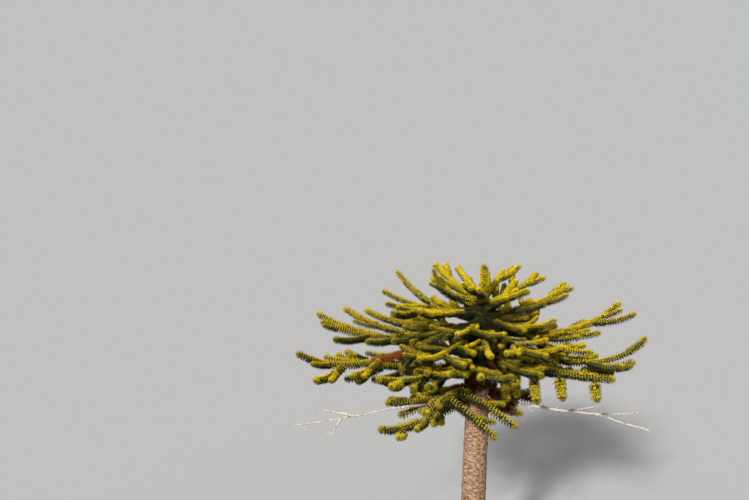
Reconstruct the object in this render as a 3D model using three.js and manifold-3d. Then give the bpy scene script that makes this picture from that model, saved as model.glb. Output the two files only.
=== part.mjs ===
// A young monkey puzzle tree with a broad umbrella crown, in millimetres, +Z up.
// The origin is the middle of the flat cut under the trunk, at ground level.
// Azimuths are degrees anticlockwise from +X seen from above, pitches are degrees above level.

import * as THREE from "three";
import Module from "manifold-3d";

const wasm = await Module();
wasm.setup();

const DEGREE = Math.PI / 180;
const FULL_TURN = 2 * Math.PI;

// Trunk: its radius falls as a power of the height and would close at TAPER_CLOSES_AT
const TRUNK_HEIGHT = 3020;
const TRUNK_RADIUS = 108;
const TAPER_CLOSES_AT = 3250;
const TAPER_POWER = 5;
const TRUNK_LEAN = 14;
const TRUNK_SIDES = 15;
const TRUNK_LEVELS = 18;
const LEVEL_CROWDING = 1.6;
const FLARE_WIDTH = 62;
const FLARE_HEIGHT = 95;
const ROOT_COUNT = 5;
const ROOT_RELIEF = 0.42;

// Clearances: between pieces that are seated on each other, and between leafy shoots that pass each other
const SEAT_GAP = 0.3;
const PASSING_GAP = 5;

// Boughs and stems
const STEM_RADIUS = 13;
const BOUGH_RADIUS = 17;
const BOUGH_SIDES = 6;
const BOUGH_RING_SPACING = 80;
const WHORLS_WITH_BARE_BOUGHS = ["middle", "broad"];
const HUB_LEVELS = 3;
const HUB_STAGGER = 36;
const HUB_SCATTER = 3;
const SUNK_INTO_TRUNK = 0.9;
const LEADER_LENGTH = 380;
const LEADER_PITCH = [88, 88, 92];
const LEADER_LEAFY = 44;

// Leafy shoots: rings of leaves that overlap forwards round a core
const RING_SPACING = 103;
const RING_SIDES = 6;
const LEAF_FORWARD = 0.6;
const BARE_BEFORE_LEAVES = 0.3;
const SHOOT_ROOT_SHARE = 0.6;
const CORE_SHARE = 0.55;
const LAST_RING_SHARE = 0.8;
const AXIS_STEPS = 40;
const SHOOT_STEPS = 12;
const SHORTEST_RUN = 6;
const NEARLY_UPRIGHT = 0.05;

// Side shoots: they shorten outwards and scatter a little in place, length, fan and rise
const SHOOT_LONGEST = 1.15;
const SHOOT_SHORTENING = 0.4;
const FIRST_SHOOT = 60;
const PLACE_SCATTER = 0.02;
const LENGTH_SCATTER = 0.1;
const ANGLE_SCATTER = 6;
const SLOPE_FOLLOWED = 0.5;

// Whorls of boughs from the top down. Each bough leaves the trunk at an azimuth and runs out by its
// reach, with its pitch at the trunk, half way and at the tip in lift. Its side shoots alternate, turn
// off by fan, close in again by close, and have their own pitches in rise. left is the side of greater
// azimuth, and crowd over 1 draws the shoots together towards the trunk. bare is the leafless inner
// length and leafy the radius over the leaf tips.
const WHORLS = [
  {
    name: "top", hub: 3075, leafy: 36, bare: 70, lift: [12, 16, 26],
    shoots: 2, shoot: 290, last: 0.8, rise: [6, 12, 30], fan: 40, close: 18, crowd: 1,
    boughs: [
      { azimuth: 123, reach: 700, lift: [16, 19, 28] },
      { azimuth: 106, reach: 560, lift: [10, 13, 22], shoots: 0 },
      { azimuth: 58, reach: 510, lift: [16, 18, 30] },
      { azimuth: 162, reach: 540, lift: [2, 26, 86], shoots: 1 },
      { azimuth: 18, reach: 370, shoots: 1 },
      { azimuth: 255, reach: 310, lift: [20, 26, 44], shoots: 1 },
      { azimuth: 315, reach: 300, lift: [18, 24, 40], shoots: 1 },
    ],
  },
  {
    name: "upper", hub: 2940, leafy: 38, bare: 110, lift: [4, 6, 26],
    shoots: 4, shoot: 400, last: 0.8, rise: [2, 10, 32], fan: 48, close: 20, crowd: 1,
    boughs: [
      {
        azimuth: 163, reach: 860, lift: [6, 8, 30], shoots: 3, last: 0.6,
        right: { fan: 38, shoot: 540, rise: [18, 30, 52] },
      },
      { azimuth: 196, reach: 740 },
      { azimuth: 44, reach: 840, lift: [9, 12, 26], rise: [2, 8, 24], right: { shoot: 220 } },
      { azimuth: 9, reach: 780, lift: [8, 16, 36], shoot: 340 },
      { azimuth: -20, reach: 900, lift: [-12, -16, 14], shoots: 3, shoot: 300 },
      { azimuth: 102, reach: 620, lift: [8, 12, 28], shoots: 3 },
      { azimuth: 240, reach: 500, lift: [0, 2, 24], shoots: 2, fan: 72, close: 0 },
      { azimuth: 305, reach: 470, lift: [-2, 0, 16], shoots: 2, fan: 66, close: 0 },
    ],
  },
  {
    name: "middle", hub: 2840, leafy: 42, bare: 190, lift: [-4, -4, 24],
    shoots: 5, shoot: 450, last: 0.8, rise: [-2, 6, 28], fan: 44, close: 22, crowd: 1,
    boughs: [
      { azimuth: 126, reach: 980, lift: [-8, -8, 18], shoot: 400 },
      {
        azimuth: 177, reach: 1350, bare: 150, lift: [-11, -2, 30], shoots: 6, last: 0.7,
        right: { shoot: 780, fan: 22, close: 0, rise: [6, 14, 30] }, left: { shoot: 400, rise: [-4, 2, 24] },
      },
      { azimuth: 98, reach: 950, lift: [-8, -8, 18], shoot: 400 },
      {
        azimuth: 197, reach: 1600, bare: 240, lift: [-11, -11, 40], shoots: 6,
        right: { shoot: 360 }, left: { shoot: 400, rise: [-10, -8, 24] },
      },
      { azimuth: 56, reach: 950, lift: [-8, -8, 18], shoot: 400 },
      { azimuth: 13, reach: 1330, lift: [-9, 3, 46], left: { shoot: 360, rise: [-6, -2, 14] } },
      {
        azimuth: 345, hub: 2810, reach: 1370, lift: [-18, -2, 60],
        right: { shoot: 380 }, left: { rise: [-10, -4, 24] },
      },
      { azimuth: 300, reach: 760, lift: [-8, -6, 24], shoots: 4, shoot: 320, fan: 70, close: 0 },
      { azimuth: 230, reach: 860, lift: [-4, -2, 26], shoots: 4, shoot: 320, fan: 66, close: 0 },
      { azimuth: 268, reach: 620, lift: [-6, -4, 24], shoots: 3, shoot: 300, fan: 78, close: 0 },
    ],
  },
  {
    name: "broad", hub: 2520, leafy: 45, bare: 190, lift: [-4, -8, 20],
    shoots: 5, shoot: 420, last: 0.8, rise: [-8, -8, 20], fan: 50, close: 24, crowd: 1,
    boughs: [
      { azimuth: 213, reach: 1000, lift: [2, 2, 28], shoot: 300, rise: [2, 2, 26] },
      { azimuth: 166, reach: 1230, lift: [-4, -4, 20] },
      { azimuth: 120, reach: 1150 },
      { azimuth: 78, reach: 1120 },
      { azimuth: 36, reach: 1180 },
      { azimuth: 350, reach: 1220, lift: [0, 3, 30], shoot: 380, right: { shoot: 220, rise: [10, 10, 28] } },
      {
        azimuth: 327, reach: 1060, bare: 70, lift: [2, 4, 8], shoots: 10, last: 0.9, crowd: 1.9,
        right: { shoot: 270, rise: [-44, -72, -40], fan: 60, leafy: 50 }, left: { shoot: 240 },
      },
      {
        azimuth: 233, reach: 820, lift: [4, 8, 38], shoots: 4, shoot: 290,
        rise: [8, 14, 50], fan: 66, close: 0,
      },
      {
        azimuth: 262, hub: 2600, reach: 700, lift: [4, 8, 40], shoots: 4, shoot: 300,
        rise: [-4, 4, 40], fan: 76, close: 0,
      },
      {
        azimuth: 300, hub: 2610, reach: 700, lift: [2, 4, 24], shoots: 4, shoot: 280,
        rise: [-4, 2, 36], fan: 70, close: 0,
      },
    ],
  },
  {
    name: "low", hub: 2220, leafy: 50, bare: 150, lift: [-14, -20, 16],
    shoots: 3, shoot: 300, last: 0.8, rise: [-16, -16, 10], fan: 44, close: 20, crowd: 1,
    boughs: [
      { azimuth: 201, reach: 880, lift: [-14, -16, 26], left: { shoot: 160 } },
      { azimuth: 171, reach: 740, lift: [-8, -8, -2] },
      { azimuth: 330, reach: 330, lift: [-4, -8, 6], shoots: 0 },
      { azimuth: 135, reach: 700 },
      {
        azimuth: 229, hub: 2245, reach: 560, lift: [26, 6, -20], shoots: 4, shoot: 230, last: 0.98,
        left: { shoot: 570, fan: 98, close: -10, rise: [-8, -28, -26] },
      },
      { azimuth: 55, reach: 660 },
      { azimuth: 20, reach: 460, lift: [0, -4, 20], shoots: 2, shoot: 200 },
    ],
  },
];

// Dead limbs: bare, below the leafy ones, each with forks that turn off by fan at a share of its length
const DEAD_LIMBS = [
  {
    name: "dead_bough_left", hub: 2145, azimuth: 188, reach: 1500, lift: [10, -7, -2], radius: 15, tip: 5,
    forks: [
      { at: 0.66, fan: -26, length: 300, pitch: [4, 2, -8] },
      { at: 0.74, fan: 40, length: 160, pitch: [-30, -50, -30] },
    ],
  },
  {
    name: "dead_bough_right", hub: 2145, azimuth: 350, reach: 1240, lift: [10, -4, 16], radius: 14, tip: 5,
    forks: [
      { at: 0.54, fan: 22, length: 300, pitch: [4, 2, 0] },
      { at: 0.72, fan: -12, length: 440, pitch: [-6, -10, -4] },
    ],
  },
];
const FORK_SHARE = 0.65;
const DEAD_SIDES = 5;
const DEAD_RING_SPACING = 170;

// Colours of the dry bark, the dead wood and the leaves of each whorl
const BARK = { color: 0xa59588, roughness: 0.9, metalness: 0 };
const DEAD_WOOD = { color: 0xb8afa4, roughness: 0.85, metalness: 0 };
const BOUGH_BARK = { color: 0x6f5c49, roughness: 0.9, metalness: 0 };
const LEAF_COLORS = { top: 0xb9b52a, upper: 0xadaf2c, middle: 0xa3a62b, broad: 0x868f2a, low: 0x8c9433 };
const LEAF_ROUGHNESS = 0.6;

// Seeded numbers between 0 and 1: each is the last one times a factor, modulo a prime
const DRAW_FACTOR = 48271;
const DRAW_PRIME = 2147483647;
const SEED_FACTOR = 7919;
const SEED_OFFSET = 17;
const WARM_UP_DRAWS = 3;
const SEEDS_PER_WHORL = 100;

class Draw {
  constructor(seed) {
    this.state = seed * SEED_FACTOR + SEED_OFFSET;
    for (let i = 0; i < WARM_UP_DRAWS; i += 1) this.next();
  }

  next() {
    this.state = (this.state * DRAW_FACTOR) % DRAW_PRIME;
    return this.state / DRAW_PRIME;
  }

  around(spread) {
    return (this.next() * 2 - 1) * spread;
  }
}

function trunkCentre(height) {
  return TRUNK_LEAN * (height / TRUNK_HEIGHT) ** 2;
}

function trunkRadius(height) {
  return TRUNK_RADIUS * (1 - (height / TAPER_CLOSES_AT) ** TAPER_POWER);
}

// The value at share s of a curve through three values at its start, middle and end
function through(values, s) {
  const [start, middle, end] = values;
  return start * (1 - s) * (1 - 2 * s) + middle * 4 * s * (1 - s) + end * s * (2 * s - 1);
}

// Points of a run that starts at an azimuth, turns by bend on its way, and follows three pitches
function runPoints(start, azimuth, pitches, length, bend, steps) {
  const points = [start.clone()];
  for (let i = 0; i < steps; i += 1) {
    const s = (i + 0.5) / steps;
    const pitch = through(pitches, s) * DEGREE;
    const heading = (azimuth + bend * s) * DEGREE;
    const step = new THREE.Vector3(
      Math.cos(pitch) * Math.cos(heading),
      Math.cos(pitch) * Math.sin(heading),
      Math.sin(pitch),
    );
    points.push(points[i].clone().addScaledVector(step, length / steps));
  }
  return points;
}

// A run measured along its length, with evenly stepped points
class Run {
  constructor(points) {
    this.points = points;
    this.step = points[0].distanceTo(points[1]);
    this.length = this.step * (points.length - 1);
  }

  at(distance) {
    const place = Math.min(Math.max(distance / this.step, 0), this.points.length - 1);
    const index = Math.min(Math.floor(place), this.points.length - 2);
    return this.points[index].clone().lerp(this.points[index + 1], place - index);
  }

  direction(distance) {
    const ahead = this.at(Math.min(distance + this.step / 2, this.length));
    const behind = this.at(Math.max(distance - this.step / 2, 0));
    return ahead.sub(behind).normalize();
  }
}

// Two unit vectors square to a direction, turned as little as possible from the last side vector
function frameAlong(direction, lastSide) {
  const side = lastSide ? lastSide.clone() : new THREE.Vector3(0, 0, 1).cross(direction);
  if (side.length() < NEARLY_UPRIGHT) side.set(1, 0, 0);
  side.addScaledVector(direction, -side.dot(direction)).normalize();
  return { side, up: direction.clone().cross(side) };
}

// A closed surface over rings of points, with flat ends, or drawn to a point at the far end
function loft(rings, tip) {
  const sides = rings[0].length;
  const positions = rings.flat().flatMap((point) => point.toArray());
  const indices = [];
  for (let ring = 0; ring + 1 < rings.length; ring += 1) {
    for (let j = 0; j < sides; j += 1) {
      const here = ring * sides + j;
      const beside = ring * sides + ((j + 1) % sides);
      if ((ring + j) % 2 === 0) {
        indices.push(here, beside, here + sides, beside, beside + sides, here + sides);
      } else {
        indices.push(here, beside, beside + sides, here, beside + sides, here + sides);
      }
    }
  }
  for (let j = 1; j + 1 < sides; j += 1) indices.push(0, j + 1, j);
  const far = (rings.length - 1) * sides;
  if (tip) {
    positions.push(...tip.toArray());
    for (let j = 0; j < sides; j += 1) indices.push(far + j, far + ((j + 1) % sides), far + sides);
  } else {
    for (let j = 1; j + 1 < sides; j += 1) indices.push(far, far + j, far + j + 1);
  }
  const geometry = new THREE.BufferGeometry();
  geometry.setAttribute("position", new THREE.Float32BufferAttribute(positions, 3));
  geometry.setIndex(indices);
  return geometry;
}

function toSolid(geometry) {
  const vertProperties = new Float32Array(geometry.getAttribute("position").array);
  const triVerts = new Uint32Array(geometry.getIndex().array);
  return new wasm.Manifold(new wasm.Mesh({ numProp: 3, vertProperties, triVerts }));
}

function toGeometry(solid) {
  const mesh = solid.getMesh();
  const geometry = new THREE.BufferGeometry();
  geometry.setAttribute("position", new THREE.BufferAttribute(new Float32Array(mesh.vertProperties), 3));
  geometry.setIndex(new THREE.BufferAttribute(new Uint32Array(mesh.triVerts), 1));
  geometry.computeVertexNormals();
  return geometry;
}

// Joins solids into one and keeps its outer body, so a sealed hollow is filled and a scrap is dropped
function joined(solids) {
  const whole = solids.reduce((sum, solid) => sum.add(solid));
  const bodies = whole.decompose();
  return bodies.reduce((largest, body) => (body.volume() > largest.volume() ? body : largest));
}

// A bare limb with a round section that tapers between two radii
function limb(run, from, to, radiusFrom, radiusTo, sides, spacing) {
  const count = Math.max(1, Math.round((to - from) / spacing));
  const rings = [];
  let side = null;
  for (let k = 0; k <= count; k += 1) {
    const distance = from + ((to - from) * k) / count;
    const radius = radiusFrom + ((radiusTo - radiusFrom) * k) / count;
    const frame = frameAlong(run.direction(distance), side);
    side = frame.side;
    const ring = [];
    for (let j = 0; j < sides; j += 1) {
      const angle = (j / sides) * FULL_TURN;
      const point = run.at(distance);
      point.addScaledVector(frame.side, Math.cos(angle) * radius);
      point.addScaledVector(frame.up, Math.sin(angle) * radius);
      ring.push(point);
    }
    rings.push(ring);
  }
  return loft(rings, null);
}

// A shoot clothed in leaves: every other corner of a ring is a leaf tip, pushed out and forwards,
// and the leaves of the next ring stand between them
function leafyShoot(run, from, rootRadius, firstLeaves, leafy) {
  const core = leafy * CORE_SHARE;
  const count = Math.max(2, Math.round((run.length - firstLeaves) / RING_SPACING));
  const spacing = (run.length - firstLeaves) / count;
  const rings = [];
  let side = null;
  const bareRings = firstLeaves - from > spacing ? 2 : 1;
  for (let k = -bareRings; k < count; k += 1) {
    const lastBare = bareRings > 1 ? firstLeaves - spacing * BARE_BEFORE_LEAVES : from;
    const bareDistance = k === -1 ? lastBare : from;
    const distance = k < 0 ? bareDistance : firstLeaves + spacing * k;
    const frame = frameAlong(run.direction(distance), side);
    side = frame.side;
    const share = k === count - 1 ? LAST_RING_SHARE : 1;
    const ring = [];
    for (let j = 0; j < RING_SIDES; j += 1) {
      const isLeaf = k >= 0 && (j + k) % 2 === 0;
      const radius = k < 0 ? rootRadius : (isLeaf ? leafy : core) * share;
      const angle = (j / RING_SIDES) * FULL_TURN;
      const point = run.at(isLeaf ? distance + spacing * LEAF_FORWARD : distance);
      point.addScaledVector(frame.side, Math.cos(angle) * radius);
      point.addScaledVector(frame.up, Math.sin(angle) * radius);
      ring.push(point);
    }
    rings.push(ring);
  }
  return loft(rings, run.at(run.length));
}

// Rings of the trunk, wider by extra. They crowd towards the ground, where the root flare is
function trunkRings(extra) {
  const rings = [];
  for (let level = 0; level <= TRUNK_LEVELS; level += 1) {
    const height = (TRUNK_HEIGHT + extra) * (level / TRUNK_LEVELS) ** LEVEL_CROWDING;
    const flare = FLARE_WIDTH * Math.exp(-height / FLARE_HEIGHT);
    const ring = [];
    for (let j = 0; j < TRUNK_SIDES; j += 1) {
      const angle = (j / TRUNK_SIDES) * FULL_TURN;
      const roots = 1 + ROOT_RELIEF * Math.cos(ROOT_COUNT * angle);
      const radius = trunkRadius(height) + flare * roots + extra;
      ring.push(new THREE.Vector3(
        trunkCentre(height) + radius * Math.cos(angle),
        radius * Math.sin(angle),
        height,
      ));
    }
    rings.push(ring);
  }
  return rings;
}

// Every leafy or bare run that is placed, so that later ones keep clear of it
const placed = [];

function place(owner, points, radii) {
  placed.push({ owner, points, radii });
}

// How many points of a run stay clear of all that other pieces hold
function clearPoints(owner, points, radii) {
  for (let i = 0; i < points.length; i += 1) {
    for (const other of placed) {
      if (other.owner === owner) continue;
      for (let j = 0; j < other.points.length; j += 1) {
        const reach = radii[i] + other.radii[j] + PASSING_GAP;
        if (points[i].distanceTo(other.points[j]) < reach) return i;
      }
    }
  }
  return points.length;
}

// The leafy axis of each bough of each whorl
function planBoughs() {
  const boughs = [];
  WHORLS.forEach((whorl, whorlIndex) => {
    const onLeader = whorlIndex === 0;
    whorl.boughs.forEach((own, index) => {
      const bough = { ...whorl, ...own, index };
      const draw = new Draw(SEEDS_PER_WHORL * (whorlIndex + 1) + index);
      const rank = whorl.boughs.filter((each) => each.azimuth < own.azimuth).length;
      const level = (rank % HUB_LEVELS) - 1;
      const height = bough.hub + level * HUB_STAGGER + draw.around(HUB_SCATTER);
      const radius = onLeader ? 0 : trunkRadius(height) * SUNK_INTO_TRUNK;
      const start = new THREE.Vector3(
        trunkCentre(Math.min(bough.hub, TRUNK_HEIGHT)) + radius * Math.cos(bough.azimuth * DEGREE),
        radius * Math.sin(bough.azimuth * DEGREE),
        height,
      );
      const points = runPoints(start, bough.azimuth, bough.lift, bough.reach, 0, AXIS_STEPS);
      const owner = onLeader ? whorl.name : `${whorl.name}_${index + 1}`;
      const radii = points.map((point, i) => {
        const isBare = (i / AXIS_STEPS) * bough.reach < bough.bare;
        return isBare ? STEM_RADIUS : bough.leafy;
      });
      place(owner, points, radii);
      boughs.push({ ...bough, owner, draw, axis: new Run(points), sideShoots: [] });
    });
  });
  return boughs;
}

// The side shoots of a bough, left and right by turns. One that meets another piece ends there, and
// one that would be too short is skipped
function planSideShoots(bough) {
  const first = (bough.bare + FIRST_SHOOT) / bough.reach;
  for (let k = 0; k < bough.shoots; k += 1) {
    const side = (k + bough.index) % 2 === 0 ? 1 : -1;
    const own = { ...bough, ...(side > 0 ? bough.left : bough.right) };
    const spread = (bough.last - first) * ((k + 0.5) / bough.shoots) ** bough.crowd;
    const s = first + spread + bough.draw.around(PLACE_SCATTER);
    const index = Math.floor(s * AXIS_STEPS);
    const start = bough.axis.at(s * bough.reach);
    const along = bough.axis.points[index + 1].clone().sub(bough.axis.points[index]);
    const heading = Math.atan2(along.y, along.x) / DEGREE;
    const slope = Math.atan2(along.z, Math.hypot(along.x, along.y)) / DEGREE;
    const shortening = SHOOT_LONGEST - SHOOT_SHORTENING * s;
    const length = own.shoot * shortening * (1 + bough.draw.around(LENGTH_SCATTER));
    const fan = own.fan + bough.draw.around(ANGLE_SCATTER);
    const tilt = bough.draw.around(ANGLE_SCATTER) + SLOPE_FOLLOWED * slope;
    const rise = own.rise.map((pitch) => pitch + tilt);
    const points = runPoints(start, heading + side * fan, rise, length, -side * own.close, SHOOT_STEPS);
    const radii = points.map((point, i) => {
      const isRoot = (i / SHOOT_STEPS) * length < own.leafy;
      return isRoot ? STEM_RADIUS : own.leafy;
    });
    const count = clearPoints(bough.owner, points, radii);
    if (count < SHORTEST_RUN) continue;
    const kept = points.slice(0, count);
    place(bough.owner, kept, radii.slice(0, count));
    bough.sideShoots.push({ run: new Run(kept), leafy: own.leafy });
  }
}

// The bare limb of a dead bough with its forks
function planDeadLimb(dead) {
  const radius = trunkRadius(dead.hub) * SUNK_INTO_TRUNK;
  const start = new THREE.Vector3(
    trunkCentre(dead.hub) + radius * Math.cos(dead.azimuth * DEGREE),
    radius * Math.sin(dead.azimuth * DEGREE),
    dead.hub,
  );
  const axis = new Run(runPoints(start, dead.azimuth, dead.lift, dead.reach, 0, AXIS_STEPS));
  const limbs = [{ run: axis, radius: dead.radius }];
  for (const fork of dead.forks) {
    const from = axis.at(fork.at * dead.reach);
    const points = runPoints(from, dead.azimuth + fork.fan, fork.pitch, fork.length, 0, SHOOT_STEPS);
    limbs.push({ run: new Run(points), radius: dead.radius * FORK_SHARE });
  }
  for (const part of limbs) place(dead.name, part.run.points, part.run.points.map(() => part.radius));
  return { ...dead, limbs };
}

function sideShootSolid({ run, leafy }) {
  return toSolid(leafyShoot(run, 0, STEM_RADIUS, leafy * SHOOT_ROOT_SHARE, leafy));
}

const tree = new THREE.Group();

function addNode(name, solid, look) {
  const mesh = new THREE.Mesh(toGeometry(solid), new THREE.MeshStandardMaterial(look));
  mesh.name = name;
  tree.add(mesh);
}

function leafLook(whorl) {
  return { color: LEAF_COLORS[whorl], roughness: LEAF_ROUGHNESS, metalness: 0 };
}

const trunk = toSolid(loft(trunkRings(0), null));
const trunkWithGap = toSolid(loft(trunkRings(SEAT_GAP), null));
const trunkPoints = [];
for (let step = 0; step <= AXIS_STEPS; step += 1) {
  const height = (TRUNK_HEIGHT * step) / AXIS_STEPS;
  trunkPoints.push(new THREE.Vector3(trunkCentre(height), 0, height));
}

const deadLimbs = DEAD_LIMBS.map(planDeadLimb);
const boughs = planBoughs();
const leaderFoot = new THREE.Vector3(trunkCentre(TRUNK_HEIGHT), 0, TRUNK_HEIGHT + SEAT_GAP);
const leader = new Run(runPoints(leaderFoot, 0, LEADER_PITCH, LEADER_LENGTH, 0, SHOOT_STEPS));
place("top", leader.points, leader.points.map(() => LEADER_LEAFY));
place("trunk", trunkPoints, trunkPoints.map((point) => trunkRadius(point.z)));
boughs.forEach(planSideShoots);

addNode("trunk", trunk, BARK);

// The top: the leader stands on the trunk's tip and carries the highest whorl
const topBoughs = boughs.filter((bough) => bough.name === "top");
const topSolids = [toSolid(leafyShoot(leader, 0, STEM_RADIUS, WHORLS[0].bare, LEADER_LEAFY))];
for (const bough of topBoughs) {
  topSolids.push(toSolid(leafyShoot(bough.axis, 0, STEM_RADIUS, bough.bare, bough.leafy)));
  topSolids.push(...bough.sideShoots.map(sideShootSolid));
}
addNode("foliage_top", joined(topSolids).subtract(trunkWithGap), leafLook("top"));

// The whorls below it: in the wide ones a bare bough carries each mass, in the others the stem of the
// mass meets the trunk
for (const bough of boughs.filter((each) => each.name !== "top")) {
  const hasBough = WHORLS_WITH_BARE_BOUGHS.includes(bough.name);
  const stemStart = hasBough ? bough.bare : 0;
  if (hasBough) {
    const end = bough.bare - SEAT_GAP;
    const tube = limb(bough.axis, 0, end, BOUGH_RADIUS, STEM_RADIUS, BOUGH_SIDES, BOUGH_RING_SPACING);
    const wood = toSolid(tube);
    addNode(`bough_${bough.owner}`, wood.subtract(trunkWithGap), BOUGH_BARK);
  }
  const firstLeaves = bough.bare + (hasBough ? bough.leafy * BARE_BEFORE_LEAVES : 0);
  const solids = [toSolid(leafyShoot(bough.axis, stemStart, STEM_RADIUS, firstLeaves, bough.leafy))];
  solids.push(...bough.sideShoots.map(sideShootSolid));
  const mass = joined(solids);
  addNode(`foliage_${bough.owner}`, hasBough ? mass : mass.subtract(trunkWithGap), leafLook(bough.name));
}

for (const dead of deadLimbs) {
  const solids = dead.limbs.map(({ run, radius }) =>
    toSolid(limb(run, 0, run.length, radius, dead.tip, DEAD_SIDES, DEAD_RING_SPACING)));
  addNode(dead.name, joined(solids).subtract(trunkWithGap), DEAD_WOOD);
}

export default tree;
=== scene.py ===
"""A young monkey puzzle tree, dressed in bark, stems and single leaves.

The pieces are modelled in millimetres in the part's own frame and turned to metres as they are added.
"""

import math

import bmesh
import bpy
import numpy as np
from mathutils import Matrix, Vector, noise


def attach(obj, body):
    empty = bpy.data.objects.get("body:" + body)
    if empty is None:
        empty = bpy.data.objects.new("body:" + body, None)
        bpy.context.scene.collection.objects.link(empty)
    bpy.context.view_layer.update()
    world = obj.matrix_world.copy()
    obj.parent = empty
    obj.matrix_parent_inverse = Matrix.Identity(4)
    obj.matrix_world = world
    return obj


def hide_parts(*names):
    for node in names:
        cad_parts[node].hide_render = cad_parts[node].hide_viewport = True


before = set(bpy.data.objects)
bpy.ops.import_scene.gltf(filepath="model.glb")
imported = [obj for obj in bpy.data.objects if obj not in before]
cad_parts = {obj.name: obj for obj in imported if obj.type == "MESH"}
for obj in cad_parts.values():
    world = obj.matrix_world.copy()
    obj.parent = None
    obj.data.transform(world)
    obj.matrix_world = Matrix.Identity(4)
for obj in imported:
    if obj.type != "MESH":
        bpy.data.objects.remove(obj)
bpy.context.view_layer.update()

# Trunk: living wood under dry, pinkish grey bark that never peels. Each year leaves a ring of scars on
# it, and the whorls of boughs that it shed leave rings of knots. It swells over its roots at the ground.
MM = 0.001
TRUNK_HEIGHT = 3020
TRUNK_RADIUS = 108
TAPER_CLOSES_AT = 3250
TAPER_POWER = 5
TRUNK_LEAN = 14
FLARE_WIDTH = 62
FLARE_HEIGHT = 95
ROOT_COUNT = 5
ROOT_RELIEF = 0.42
TRUNK_SIDES = 84
TRUNK_RING_SPACING = 9
RING_RIDGE_SPACING = 34
RING_RIDGE_RELIEF = 2.4
RING_RIDGE_WANDER = 14
WANDER_SIZE = 160
SCAR_WIDTH = 34
SCAR_HEIGHT = 15
SCAR_RELIEF = 3.2
CRACK_SIZE = 9
CRACK_RELIEF = 1.6
SHED_WHORLS = (560, 960, 1360, 1770)
KNOTS_PER_WHORL = 7
KNOT_TURN = 0.4
KNOT_RADIUS = 26
KNOT_RELIEF = 9
KNOT_FLATNESS = 1.3
KNOT_FALL = 1.4
KNOT_DIMPLE = 0.8
DIMPLE_FALL = 9
KNOT_REACH = 3
SMOOTH_TOP_HEIGHT = 500
SMOOTH_TOP_RELIEF = 0.25
BARK_PALE = 0xAE8E70
BARK_MID = 0x846348
BARK_DARK = 0x49311D
BARK_ROUGHNESS = 0.92
BARK_GRAIN = 5
SCAR_FLATNESS = 2.2
DARK_AT = 0.36
MID_AT = 0.47
PALE_AT = 0.62
GRAIN_DEPTH_SHARE = 0.25


def linear(hex_colour):
    """A colour in linear light, with alpha, from its sRGB hex value."""
    channels = [((hex_colour >> shift) & 255) / 255 for shift in (16, 8, 0)]
    return [c / 12.92 if c <= 0.04045 else ((c + 0.055) / 1.055) ** 2.4 for c in channels] + [1.0]


def add_node(tree, kind, inputs, **settings):
    """Adds a node with its settings, and sets or links each of its inputs."""
    node = tree.nodes.new(kind)
    for key, value in settings.items():
        setattr(node, key, value)
    for key, value in inputs.items():
        if isinstance(value, bpy.types.NodeSocket):
            tree.links.new(value, node.inputs[key])
        else:
            node.inputs[key].default_value = value
    return node


def new_material(name):
    """An empty material, its node tree and the coordinates of the object, in metres."""
    material = bpy.data.materials.new(name)
    material.use_nodes = True
    tree = material.node_tree
    tree.nodes.clear()
    coordinates = add_node(tree, "ShaderNodeTexCoord", {})
    return material, tree, coordinates.outputs["Object"]


def weathered(name, pale, mid, dark, roughness, scar_size, grain_size):
    """Dry bark or bare wood: pale with darker scars across it, rough, with a fine grain."""
    material, tree, place = new_material(name)
    across = add_node(tree, "ShaderNodeMapping", {"Vector": place, "Scale": (1, 1, SCAR_FLATNESS)})
    scars = add_node(
        tree, "ShaderNodeTexNoise",
        {"Vector": across.outputs[0], "Scale": 1 / (scar_size * MM), "Detail": 4.0, "Roughness": 0.62},
    )
    ramp = add_node(tree, "ShaderNodeValToRGB", {"Fac": scars.outputs["Fac"]})
    ramp.color_ramp.elements[0].position = DARK_AT
    ramp.color_ramp.elements[0].color = linear(dark)
    ramp.color_ramp.elements[1].position = PALE_AT
    ramp.color_ramp.elements[1].color = linear(pale)
    ramp.color_ramp.elements.new(MID_AT).color = linear(mid)
    grain = add_node(
        tree, "ShaderNodeTexNoise",
        {"Vector": place, "Scale": 1 / (grain_size * MM), "Detail": 3.0, "Roughness": 0.6},
    )
    shade = add_node(
        tree, "ShaderNodeMapRange",
        {"Value": grain.outputs["Fac"], "From Min": 0.3, "From Max": 0.7, "To Min": 0.72, "To Max": 1.12},
    )
    colour = add_node(
        tree, "ShaderNodeMix", {0: 1.0, 6: ramp.outputs["Color"], 7: shade.outputs[0]},
        data_type="RGBA", blend_type="MULTIPLY",
    )
    bump = add_node(
        tree, "ShaderNodeBump",
        {"Height": grain.outputs["Fac"], "Strength": 0.6, "Distance": GRAIN_DEPTH_SHARE * grain_size * MM},
    )
    shader = add_node(
        tree, "ShaderNodeBsdfPrincipled",
        {"Base Color": colour.outputs[2], "Roughness": roughness, "IOR": 1.45, "Normal": bump.outputs[0]},
    )
    add_node(tree, "ShaderNodeOutputMaterial", {"Surface": shader.outputs[0]})
    return material


def add_piece(name, mesh, material, nodes):
    """Adds a mesh, now turned to metres, as a piece that rides on the root and replaces those nodes."""
    mesh.transform(Matrix.Scale(MM, 4))
    mesh.materials.append(material)
    piece = bpy.data.objects.new(name, mesh)
    bpy.context.collection.objects.link(piece)
    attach(piece, "root")
    if nodes:
        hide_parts(*nodes)
    return piece


def add_solid(name, bm, material, nodes):
    """Adds a closed bmesh as a smooth piece with its faces turned outwards."""
    bmesh.ops.recalc_face_normals(bm, faces=bm.faces)
    for face in bm.faces:
        face.smooth = True
    mesh = bpy.data.meshes.new(name)
    bm.to_mesh(mesh)
    bm.free()
    return add_piece(name, mesh, material, nodes)


def trunk_centre(height):
    """How far the lean has carried the trunk along X at a height."""
    return TRUNK_LEAN * (height / TRUNK_HEIGHT) ** 2


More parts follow.
